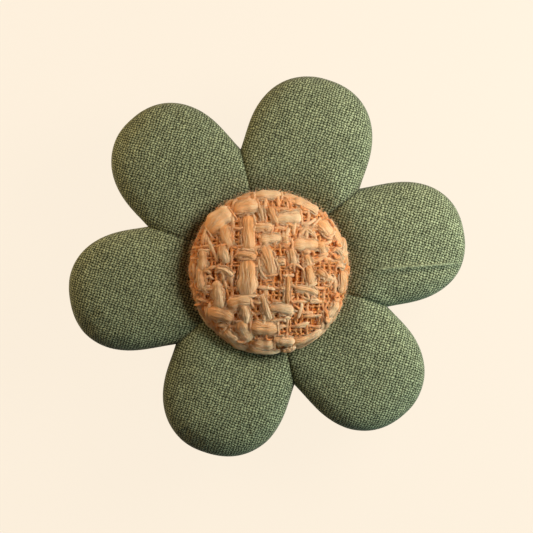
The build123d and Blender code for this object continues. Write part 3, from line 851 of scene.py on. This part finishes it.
def make_spring():
    """The torsion spring's coil and its two straight legs."""
    pin_low, pin_high = (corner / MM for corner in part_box("hinge_pin"))
    pivot_x, pivot_z = (pin_low.x + pin_high.x) / 2, (pin_low.z + pin_high.z) / 2
    leg_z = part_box("clip_base")[1].z / MM - 0.6 - SPRING_WIRE / 2 - pivot_z
    leg_reach = math.hypot(SPRING_LEG_X, leg_z)
    leg_angle = math.atan2(leg_z, -SPRING_LEG_X) - math.acos(SPRING_RADIUS / leg_reach)
    leg_length = math.sqrt(leg_reach**2 - SPRING_RADIUS**2)
    turns = SPRING_TURNS + math.degrees(leg_angle) / 180
    share = np.linspace(0, 1, int(turns * 40) + 1)
    angle = leg_angle - share * turns * 2 * math.pi
    coil = np.column_stack((
        pivot_x + SPRING_RADIUS * np.cos(angle),
        (share - 0.5) * SPRING_PITCH * turns,
        pivot_z + SPRING_RADIUS * np.sin(angle),
    ))
    starts = np.linspace(leg_length, 0, 24, endpoint=False)[:, None]
    first = coil[0] + starts * np.array((-math.sin(leg_angle), 0, math.cos(leg_angle)))
    last = coil[-1] + starts[::-1] * np.array((-math.sin(leg_angle), 0, -math.cos(leg_angle)))
    wire = Strands()
    wire.add(np.vstack((first, coil, last)), SPRING_WIRE / 2, (0, 1, 0), 14)
    spring = wire.build("spring_wire", spring_material(), "steel_wire", None)
    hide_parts("torsion_spring")
    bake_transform(spring)


# ---- Strands: yarns, slubs, fuzz and threads


def smooth_path(points, cuts):
    """A Catmull-Rom line through points."""
    points = np.asarray(points, float)
    padded = np.vstack((2 * points[0] - points[1], points, 2 * points[-1] - points[-2]))
    out = []
    for before, start, end, after in zip(padded, padded[1:], padded[2:], padded[3:]):
        for t in np.linspace(0, 1, cuts, endpoint=False):
            bend = (2 * before - 5 * start + 4 * end - after) * t**2
            twist = (3 * start - before - 3 * end + after) * t**3
            out.append(0.5 * (2 * start + (end - before) * t + bend + twist))
    return np.array(out + [points[-1]])


class Strands:
    """Many round or flattened strands in one mesh."""

    def __init__(self):
        self.points, self.faces, self.yarn, self.count = [], [], [], 0

    def add(self, path, radius, up, sides, flat=1.0, tone=0.5, ridges=(), lay=0.0):
        """Adds a strand along a path in mm.

        Flat is its height over its width, and up the direction of that height. Each ridge is a count round
        the strand, a depth and a phase. Lay is how far the ridges turn for each mm along it.
        """
        path = np.asarray(path, float)
        rows = len(path)
        tones = np.broadcast_to(tone, rows)
        along = arc_lengths(path)
        tangent = np.gradient(path, axis=0)
        tangent /= np.linalg.norm(tangent, axis=1)[:, None] + 1e-12
        up = np.broadcast_to(np.asarray(up, float), path.shape)
        up = up - (up * tangent).sum(1)[:, None] * tangent
        up /= np.linalg.norm(up, axis=1)[:, None] + 1e-12
        side = np.cross(tangent, up)
        angles = np.linspace(0, 2 * math.pi, sides, endpoint=False) - math.pi / 2
        swell = np.ones((rows, sides))
        for lobes, depth, phase in ridges:
            swell += depth * np.cos(lobes * angles[None] + phase + lay * along[:, None])
        reach = np.broadcast_to(radius, rows)[:, None] * swell
        points = path[:, None] + (reach * np.cos(angles))[..., None] * side[:, None]
        points = points + (reach * flat * np.sin(angles))[..., None] * up[:, None]
        self.points.append(points.reshape(-1, 3))
        first, last = self.count, self.count + (rows - 1) * sides
        self.faces += grid_faces(rows, sides, first, True)
        for row in range(rows - 1):
            for turn in range(sides):
                for place, corner in ((row, turn), (row, turn + 1), (row + 1, turn + 1), (row + 1, turn)):
                    self.yarn.append((along[place], corner / sides, tones[place]))
        self.faces += [tuple(range(first + sides - 1, first - 1, -1)), tuple(range(last, last + sides))]
        self.yarn += [(0.0, 0.0, tones[0])] * sides + [(along[-1], 0.0, tones[-1])] * sides
        self.count += rows * sides

    def over_button(self, s, t, lift, radius, *look):
        """Adds a strand that lies on the button, through places in its cloth. Its look is what add takes."""
        path, normal = on_button(s, t, lift)
        self.add(path, radius, normal, *look)

    def build(self, name, material, slot_name="tweed", body="flower"):
        """Makes the piece."""
        mesh = mesh_from(name, np.vstack(self.points), self.faces)
        layer = mesh.attributes.new("yarn", "FLOAT_VECTOR", "CORNER")
        layer.data.foreach_set("vector", np.asarray(self.yarn, np.float32).ravel())
        return new_object(name, mesh, material, body)


def drawn_ridges(draw, *kinds):
    """Ridges of a strand, from the count and the depth of each, with drawn phases."""
    return [(count, depth, draw.uniform(0, 6)) for count, depth in kinds]


# ---- The tweed button


def on_button(s, t, lift):
    """Point and outward direction on the button for a place in the cloth, s mm right and t mm up in the view.

    The cloth lies over the dome without stretching along its radii, and turns down round the rim.
    """
    s, t, lift = np.broadcast_arrays(np.asarray(s, float), np.asarray(t, float), np.asarray(lift, float))
    reach = np.hypot(s, t)
    scale = np.where(reach > 1e-9, 1 / np.maximum(reach, 1e-9), 0)
    domed = reach < RIM_START
    turn = np.where(domed, reach / DOME_RADIUS, RIM_ANGLE + (reach - RIM_START) / RIM_ROUND)
    turn = np.minimum(turn, math.pi)
    dome, rim = DOME_RADIUS + lift, RIM_ROUND + lift
    radius = np.where(domed, dome * np.sin(turn), RIM_X + rim * np.sin(turn))
    height = np.where(domed, DOME_Z + dome * np.cos(turn), RIM_Z + rim * np.cos(turn))
    aside = (s * scale)[..., None] * VIEW_RIGHT + (t * scale)[..., None] * VIEW_UP
    place = radius[..., None] * aside + BUTTON_ASIDE * VIEW_RIGHT - BUTTON_DROP * VIEW_UP
    normal = np.concatenate((np.sin(turn)[..., None] * aside, np.cos(turn)[..., None]), axis=-1)
    return np.concatenate((place, height[..., None]), axis=-1), normal


def on_cloth(x, y):
    """The place in the cloth of a point that is seen x mm right of the button's middle and y mm above it."""
    seen = math.hypot(x, y)
    if seen < DOME_RADIUS * math.sin(RIM_ANGLE):
        reach = DOME_RADIUS * math.asin(seen / DOME_RADIUS)
    else:
        turn = math.asin(min((seen - RIM_X) / RIM_ROUND, 1.0))
        reach = RIM_START + RIM_ROUND * (turn - RIM_ANGLE)
    return np.array((x, y)) * reach / max(seen, 1e-9)


def toward(angle):
    """The direction at an angle in the cloth."""
    return np.array((math.cos(angle), math.sin(angle)))


def noise_line(x, places, z):
    """Noise at places along a line."""
    return np.array([noise.noise(Vector((x, place, z))) for place in places])


def yarn_line(middle, offset, rows, parity, upright):
    """Cloth places and lifts of one thin yarn that weaves over and under the yarns across it."""
    length = math.sqrt(YARN_REACH**2 - middle**2)
    along = np.arange(-length, length, YARN_STEP)
    seed = upright * 20
    side = middle + (0.36 * noise_line(middle * 1.7, along * 0.30, 3.1 + seed)
                     + 0.11 * noise_line(middle * 2.3, along * 1.1, 8.4 + seed))
    lift = offset + YARN_CRIMP * np.cos(math.pi * (along / rows + parity))
    return (side, along, lift) if upright else (along, side, lift)


def make_ground():
    """The ground cloth of the tweed, over the shell and tucked under its rim, with painted shade in the gaps
    of its weave.
    """
    rings, around = 60, 150
    reaches = np.linspace(0, GROUND_REACH, rings)[:, None]
    angles = np.linspace(0, 2 * math.pi, around, endpoint=False)
    s, t = (reaches * np.cos(angles)).ravel(), (reaches * np.sin(angles)).ravel()
    faces = grid_faces(rings, around, closed=True)
    mesh = mesh_from("tweed_ground", on_button(s, t, GROUND_LIFT)[0], faces)
    set_fabric(mesh, cloth_corners(np.column_stack((s, t)), faces, 0.0, math.pi / 2))
    clean(mesh)
    material = weave_material("tweed_ground", GROUND_BRIGHT, GROUND_GAP_SHADE, (0.62, 0.58), 0.12)
    ground = new_object("tweed_ground", mesh, material)
    thicken(ground, GROUND_THICKNESS)
    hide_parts("button_tweed")


def make_thin_yarns(name, upright, spacing, crossing, pale, seed):
    """One direction of the tweed's thin plied yarns. The upright ones lie in loose pairs."""
    draw = random.Random(seed)
    yarns = Strands()
    count = int(YARN_REACH / spacing)
    for index in range(-count, count + 1):
        pair = (YARN_PAIR if index % 2 else -YARN_PAIR) if upright else 0
        middle = index * spacing + pair + draw.uniform(-0.08, 0.08)
        if abs(middle) > YARN_REACH - 0.5 or draw.random() < 0.10:
            continue
        s, t, lift = yarn_line(middle, YARN_LIFT, crossing, index, upright)
        lumps = noise_line(middle * 9, np.arange(len(s)) * YARN_STEP * 0.8, 5.5)
        thickness = draw.uniform(0.12, 0.18) * (1 + 0.45 * lumps)
        tone = pale + draw.uniform(-0.18, 0.18)
        yarns.over_button(s, t, lift, thickness, 6, 1.0, tone, drawn_ridges(draw, (2, 0.22)), 9.0)
    yarns.build(name, yarn_material(name, TWEED_DEEP, TWEED_PEACH, 7.0))


def make_slub_yarns():
    """The thick yarns that the slubs are part of, where they are thin."""
    draw = random.Random(17)
    yarns = Strands()
    for upright, middles in ((True, SLUB_WARPS), (False, SLUB_WEFTS)):
        for middle in middles:
            s, t, lift = yarn_line(middle, YARN_LIFT + 0.05, 1.5, draw.random(), upright)
            swell = noise_line(middle * 3, np.arange(len(s)) * 0.12, 9.5)
            ridges = drawn_ridges(draw, (3, 0.12), (7, 0.08))
            yarns.over_button(s, t, lift, 0.24 * (1 + 0.7 * swell), 12, 0.8, 0.45 + 0.5 * swell, ridges, 3.0)
    yarns.build("tweed_slub_yarns", yarn_material("tweed_slub_yarn", TWEED_DEEP, TWEED_CREAM, 3.0))


def add_slub(slubs, start, end, width, bend, draw, rise=0.0, sides=20, wisps=None, strays=None):
    """A thick soft stretch of yarn that rises out of the cloth and dives back under the yarns across it."""
    run = end - start
    side = np.array((-run[1], run[0])) / np.hypot(*run)
    share = np.linspace(-SLUB_NECK, 1 + SLUB_NECK, 34)
    inside = np.clip(share, 0, 1)
    sway = bend * np.sin(math.pi * inside) + 0.09 * np.sin(5 * share + draw.uniform(0, 6))
    middle = start + share[:, None] * run + sway[:, None] * side
    bulge = (1 - np.abs(2 * inside - 1) ** draw.uniform(3.2, 7.5)) ** 0.5
    uneven = 1 + 0.09 * np.sin(share * 6 + draw.uniform(0, 6))
    uneven += 0.07 * np.sin(share * 15 + draw.uniform(0, 6))
    half = np.maximum(width / 2 * bulge * uneven, SLUB_THIN)
    lift = SLUB_DIVE + (SLUB_RISE + rise - SLUB_DIVE) * bulge + draw.uniform(-0.06, 0.06)
    ridges = drawn_ridges(draw, (3, 0.07), (7, 0.05), (13, 0.05), (19, 0.04))
    flat = min(1.0, 0.34 / (width / 2) + 0.16)
    # Painted light and shade: each slub is darker towards its start and paler towards its end, as if lit from
    # beyond the end, and darker at its thin ends where it dives under the cloth. The first term is its own
    # random tone. Its wisps and strays take on this tone too.
    tone = draw.uniform(0.2, 0.85) + draw.uniform(0.2, 1.0) * (inside - 0.5) - 0.4 * (1 - bulge)
    slubs.over_button(*middle.T, lift, half, sides, flat, tone, ridges, draw.uniform(-0.5, 0.5))
    if wisps:
        add_wisps(wisps, middle, side, half, lift, flat, tone, int(4 + 5 * width), draw)
        add_strays(strays, middle, side, half, lift, tone, draw)


def add_wisps(wisps, middle, side, half, lift, flat, tone, count, draw):
    """Loose bundles of fibre that lie along a slub and stray from its edges and ends."""
    rows = len(middle)
    share = np.linspace(0, 1, rows)
    for _ in range(count):
        wander = draw.uniform(-1, 1) + 0.3 * np.sin(share * draw.uniform(2, 7) + draw.uniform(0, 6))
        wander = np.clip(wander, -1.12, 1.12)
        span = slice(draw.randrange(0, rows // 3), draw.randrange(2 * rows // 3, rows))
        cover = lift + half * flat * np.sqrt(np.maximum(1 - wander**2, 0)) * 0.98
        places = middle + (wander * half)[:, None] * side
        taper = np.sin(math.pi * np.linspace(0.02, 0.98, span.stop - span.start)) ** 0.4
        shade = tone[span] + draw.uniform(-0.45, 0.45)
        wisps.over_button(*places[span].T, cover[span], draw.uniform(0.045, 0.10) * taper, 5, 0.8, shade)


def add_strays(strays, middle, side, half, lift, tone, draw):
    """Single fibres that leave a slub's edges, bow outwards and come back, so that its outline is soft."""
    rows = len(middle)
    for _ in range(STRAYS):
        edge = draw.choice((-1, 1))
        first = draw.randrange(0, rows - 8)
        span = slice(first, min(rows, first + draw.randrange(7, 15)))
        bow = np.sin(math.pi * np.linspace(0, 1, span.stop - first))
        across = edge * (half[span] * draw.uniform(0.7, 1.0) + draw.uniform(0.10, 0.50) * bow)
        places = middle[span] + across[:, None] * side
        height = lift[span] + draw.uniform(-0.05, 0.30) * bow
        radius, shade = draw.uniform(0.035, 0.075), tone[span] + draw.uniform(0, 0.5)
        strays.over_button(*places.T, height, radius, 3, 1.0, shade)


def make_slubs():
    """The tweed's slubs, with their loose fibres: on its face, small ones between, and a band on the rim."""
    draw = random.Random(11)
    names = "slubs", "floats", "rim_slubs", "wisps", "strays"
    parts = [Strands() for _ in names]
    face, small, band, wisps, strays = parts
    for x0, y0, x1, y1, width, bend in SLUBS:
        add_slub(face, on_cloth(x0, y0), on_cloth(x1, y1), width, bend, draw, 0.0, 42, wisps, strays)
    for index in range(RIM_SLUBS):
        angle = 2 * math.pi * (index + draw.uniform(-0.5, 0.5)) / RIM_SLUBS
        reach = draw.uniform(12.4, 15.4)
        spread = draw.uniform(0.9, 3.2) / reach
        slant = draw.uniform(-0.8, 0.8)
        start, end = (reach - slant) * toward(angle - spread), (reach + slant) * toward(angle + spread)
        sink = -0.32 + 1.1 * max(0.0, -math.sin(angle) - 0.4)
        width, bend = draw.uniform(0.5, 1.4), -spread * reach * 0.12
        add_slub(band, start, end, width, bend, draw, sink, 28, wisps, strays)
    for index in range(FLOATS):
        reach, angle = 12.6 * math.sqrt(draw.random()), draw.uniform(0, 2 * math.pi)
        start = reach * toward(angle)
        heading = math.pi / 2 * (index % 2) + draw.uniform(-0.35, 0.35)
        end = start + draw.uniform(1.2, 3.2) * toward(heading)
        add_slub(small, start, end, draw.uniform(0.30, 0.60), draw.uniform(-0.3, 0.3), draw)
    material = yarn_material("tweed_slub", TWEED_PEACH, TWEED_CREAM, 1.2, 0.55)
    for name, part in zip(names, parts):
        part.build(f"tweed_{name}", material)


def make_ties():
    """Thin yarns that cross over both ends of most slubs, where they dive back into the cloth."""
    draw = random.Random(41)
    ties = Strands()
    for x0, y0, x1, y1, width, _ in SLUBS:
        start, end = on_cloth(x0, y0), on_cloth(x1, y1)
        run = end - start
        length = np.hypot(*run)
        side = np.array((-run[1], run[0])) / length
        for place in (TIE_INSET, 1 - TIE_INSET):
            if draw.random() > TIE_SHARE:
                continue
            half = width / 2 + draw.uniform(0.15, 0.5)
            share = np.linspace(-1, 1, 22)
            lean = draw.uniform(-0.12, 0.12)
            middle = start + place * run + (half * share)[:, None] * side
            middle += (lean * share)[:, None] * run / length
            peak = TIE_PEAK + 0.41 * (0.40 + 0.1 * width) * min(1.0, width)
            lift = SLUB_DIVE + (peak - SLUB_DIVE) * (1 - share**4)
            thickness, ridges = draw.uniform(0.15, 0.26), drawn_ridges(draw, (2, 0.2))
            ties.over_button(*middle.T, lift, thickness, 8, 1.0, draw.uniform(0.3, 0.9), ridges, 7.0)
    ties.build("tweed_ties", yarn_material("tweed_tie", TWEED_DEEP, TWEED_CREAM, 5.0))


def make_curls():
    """Loose curls of thin yarn, mostly on the right of the button."""
    draw = random.Random(23)
    curls = Strands()
    steps = 26
    share = np.linspace(0, 1, steps)
    arch = np.sin(math.pi * share)
    for index in range(CURLS):
        right = index % 4 != 0
        s = draw.uniform(3.5, 12.5) if right else draw.uniform(-11, 3)
        t = draw.uniform(-7.5, 10.0) if right else draw.uniform(-12, 12)
        heading, bow = draw.uniform(0, 2 * math.pi), draw.choice((-1, 1)) * draw.uniform(0.5, 1.5)
        headings = heading + bow * (share - 0.5) * 3.2 + 0.5 * np.sin(share * draw.uniform(4, 9))
        step = draw.uniform(1.8, 3.4) / steps
        s, t = s + np.cumsum(np.cos(headings)) * step, t + np.cumsum(np.sin(headings)) * step
        lift = SLUB_DIVE + draw.uniform(0.35, 0.75) * arch**0.6
        thickness = draw.uniform(0.13, 0.28) * (0.45 + 0.55 * arch**0.4)
        tone = draw.uniform(0.05, 0.6)
        curls.over_button(s, t, lift, thickness, 7, 1.0, tone, drawn_ridges(draw, (2, 0.2)), 7.0)
    curls.build("tweed_curls", yarn_material("tweed_curl", TWEED_DEEP, TWEED_CREAM, 5.0))


def make_fuzz():
    """Fine loose fibres that stand a little off the tweed."""
    draw = random.Random(31)
    fuzz = Strands()
    steps = 6
    share = np.linspace(0, 1, steps)
    for _ in range(FUZZ):
        reach, angle = YARN_REACH * math.sqrt(draw.random()) * 0.93, draw.uniform(0, 2 * math.pi)
        s, t = reach * toward(angle)
        heading = draw.uniform(0, 2 * math.pi) + draw.uniform(-1.5, 1.5) * share
        length = draw.uniform(0.5, 1.7)
        s = s + np.cumsum(np.cos(heading)) * length / steps
        t = t + np.cumsum(np.sin(heading)) * length / steps
        lift = -0.15 + draw.uniform(0.2, 0.75) * np.sin(math.pi * share * draw.uniform(0.6, 1.0))
        fuzz.over_button(s, t, lift, 0.026 * (1.1 - share), 3, 1.0, draw.uniform(0.4, 1.0))
    fuzz.build("tweed_fuzz", yarn_material("tweed_fibre", TWEED_PEACH, TWEED_CREAM, 1.0))


# ---- Materials of the other pieces


def yarn_material(name, deep, pale, lay, roughness=0.8):
    """Yarn: fibre streaks along it, twisted by lay turns for each 20 mm, between a deep and a pale colour."""
    s = Shader(name, roughness, Sheen_Weight=0.25, Sheen_Roughness=0.45, Specular_IOR_Level=0.4,
               Subsurface_Weight=0.15, Subsurface_Radius=(1.0, 0.5, 0.3), Subsurface_Scale=0.2 * MM)
    yarn = s.attribute("yarn")
    turned = s.times(s.line(yarn[0], lay * 0.05, yarn[1]), 2 * math.pi)
    round_x, round_y = (s.times(s.math(part, turned), 9.0) for part in ("COSINE", "SINE"))
    strand = s.vector(round_x, round_y, s.times(yarn[0], 0.5))
    fibres = s.scaled(s.position(), 150.0)
    where = s.node("ShaderNodeVectorMath", 0, {"operation": "ADD"}, in_0=strand, in_1=fibres)
    streak = s.noise(where, 1.5, 4.0, 0.7)
    place = s.line(s.noise(s.position(), 420.0, 2.0), 0.9, -0.45)
    share = s.plus(s.plus(yarn[2], place), s.line(streak, 2.6, -1.3))
    s.color(s.remap(share, 0.0, 1.0), deep, pale)
    s.bump(streak, 0.12, 0.9)
    return s.material


def dimmed(color, share):
    """A share of a colour's light."""
    return tuple(value * share for value in color)


def thread_material(name, color):
    """Twisted sewing thread, with painted shade in the grooves between its plies."""
    s = Shader(name, 0.6, Sheen_Weight=0.2)
    yarn = s.attribute("yarn")
    share = s.remap(s.math("SINE", s.line(yarn[0], 14.0, s.times(yarn[1], 4 * math.pi))), -1, 1)
    # Painted shade: the colour dims to under half in the grooves of the twist
    s.color(share, dimmed(color, 0.45), color)
    s.bump(share, 0.04)
    return s.material


def foam_material():
    """Open-cell foam, with painted shade in its cells."""
    s = Shader("pad_foam", 0.95)
    cells = s.node("ShaderNodeTexVoronoi", Vector=s.position(), Scale=1500.0)
    # Painted shade: darker in the middle of each cell, lighter on the walls between cells
    s.color(s.remap(cells, 0.1, 0.6), (0.55, 0.52, 0.42), (0.86, 0.84, 0.75))
    s.bump(s.remap(cells, 0.0, 0.7), 0.12)
    return s.material


def felt_material():
    """Pressed felt, with matted fibres."""
    s = Shader("moss_felt", 0.95, Sheen_Weight=0.3, Sheen_Roughness=0.6)
    matted = s.noise(s.position(), 900.0, 6.0, 0.7)
    patches = s.noise(s.position(), 160.0, 3.0)
    share = s.line(matted, 1.2, s.line(patches, 0.6, -0.4))
    s.color(s.remap(share, 0.1, 1.0), (0.035, 0.045, 0.02), (0.13, 0.155, 0.08))
    s.bump(matted, 0.25)
    return s.material


def metal_material(name, color, roughness, brush_axis, grain):
    """Plated or drawn metal, brushed along one axis, with small wear marks."""
    s = Shader(name, roughness, Metallic=1.0)
    scales = tuple(180.0 if axis == brush_axis else 5200.0 for axis in range(3))
    brushed = s.noise(s.node("ShaderNodeMapping", Vector=s.position(), Scale=scales), 1.0, 3.0)
    wear_and_highlight = s.remap(s.noise(s.position(), 700.0, 5.0, 0.7), 0.56, 0.7)
    s.color(wear_and_highlight, s.mix(s.remap(brushed, 0.3, 0.7), dimmed(color, 0.88), color), dimmed(color, 0.62))
    s.link(s.plus(s.line(brushed, grain, roughness - grain / 2), s.times(wear_and_highlight, 0.18)), "Roughness")
    s.bump(brushed, 0.006, 0.6)
    return s.material


def spring_material():
    """Drawn spring wire, with marks round and along it."""
    s = Shader("spring_wire", 0.32, Metallic=1.0)
    yarn = s.attribute("yarn")
    drawn = s.noise(s.vector(s.times(yarn[0], 0.6), s.times(yarn[1], 40.0)), 1.0, 3.0)
    s.color(s.remap(drawn, 0.3, 0.7), (0.42, 0.41, 0.39), (0.66, 0.65, 0.62))
    s.link(s.line(drawn, 0.25, 0.2), "Roughness")
    s.bump(drawn, 0.008)
    return s.material


def card_material():
    """Grey pulp board with flecks."""
    s = Shader("pulp_board", 0.9)
    pulp = s.noise(s.position(), 900.0, 5.0, 0.7)
    flecks = s.remap(s.noise(s.position(), 1600.0, 2.0), 0.62, 0.7)
    base = s.mix(s.remap(pulp, 0.3, 0.7), (0.30, 0.26, 0.20), (0.44, 0.39, 0.31))
    s.color(flecks, base, (0.12, 0.10, 0.08))
    s.bump(pulp, 0.05)
    return s.material


def glue_material():
    """Set hot-melt glue: milky and slightly wavy."""
    s = Shader("hot_melt_glue", 0.35, Transmission_Weight=0.15)
    cloudy = s.noise(s.position(), 350.0, 3.0)
    s.color(s.remap(cloudy, 0.3, 0.7), (0.62, 0.55, 0.38), (0.80, 0.75, 0.60))
    s.bump(cloudy, 0.1)
    return s.material


def twine_material():
    """Thread for a CAD piece that has no cloth attribute: plies slant across it, with painted shade between
    them.
    """
    s = Shader("shank_twist", 0.65, Sheen_Weight=0.2)
    inputs = {"Vector": s.position(), "Scale": 420.0, "Distortion": 1.5}
    ply = s.node("ShaderNodeTexWave", 1, {"bands_direction": "DIAGONAL"}, **inputs)
    # Painted shade: darker between the plies, brighter on them
    s.color(ply, (0.05, 0.06, 0.03), (0.16, 0.18, 0.10))
    s.bump(ply, 0.06)
    return s.material


def dress_cad_nodes():
    """Gives each carried-over CAD node its material."""
    nickel = metal_material("nickel_steel", (0.76, 0.74, 0.70), 0.26, 0, 0.16)
    aluminium = metal_material("pressed_aluminium", (0.80, 0.80, 0.79), 0.38, 2, 0.2)
    wire = metal_material("shank_wire", (0.60, 0.59, 0.56), 0.3, 2, 0.15)
    pin = metal_material("turned_pin", (0.72, 0.71, 0.68), 0.24, 1, 0.14)
    looks = {
        "clip_base": nickel, "jaw_lever": nickel, "hinge_pin": pin, "button_shell": aluminium,
        "button_back_plate": aluminium, "button_shank": wire, "shank_thread": twine_material(),
        "stiffener_board": card_material(), "glue_pad": glue_material(),
    }
    for name, material in looks.items():
        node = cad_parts[name]
        node.data.materials.clear()
        node.data.materials.append(material)


make_camera()
make_stage()
make_petal_cover()
for petal_index in range(len(PETALS)):
    make_pad(petal_index)
make_ground()
make_thin_yarns("tweed_warp", True, 0.44, 0.62, 0.80, 3)
make_thin_yarns("tweed_weft", False, 0.62, 0.44, 0.60, 5)
make_slub_yarns()
make_slubs()
make_ties()
make_curls()
make_fuzz()
make_lining()
make_whip_stitches()
make_felt()
make_spring()
dress_cad_nodes()
